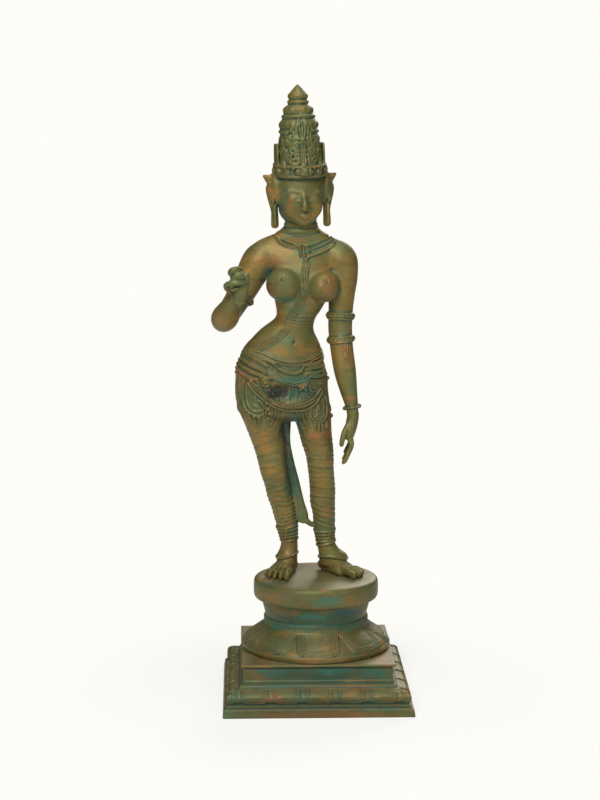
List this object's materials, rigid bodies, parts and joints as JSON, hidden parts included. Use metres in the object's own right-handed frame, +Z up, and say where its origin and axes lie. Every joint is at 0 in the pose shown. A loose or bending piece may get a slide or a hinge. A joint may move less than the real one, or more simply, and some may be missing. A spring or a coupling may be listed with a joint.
{
  "type": "standing goddess figure",
  "caption": "Cast bronze goddess standing with one hip out and one hand raised, tall tiered crown, on a round lotus pedestal and a square moulded plinth.",
  "frame": {"origin": "centre of the square plinth's underside", "axes": "+Z up, the figure faces -Y, +X is towards the figure's left hand, the viewer's right"},
  "size_m": [0.2925, 0.2776, 0.8997],
  "materials": {
    "figure_bronze": "aged olive-brown bronze with ochre rubbed highlights and green patina in the recesses",
    "pedestal_bronze": "aged green-brown bronze with blue-green patina on the drum",
    "plinth_bronze": "aged green-brown bronze with blue-green patina on the upright faces and a reddish foot"
  },
  "bodies": {
    "root": {"figure": "figure_bronze", "lotus_pedestal": "pedestal_bronze", "square_plinth": "plinth_bronze"}
  },
  "joints": []
}
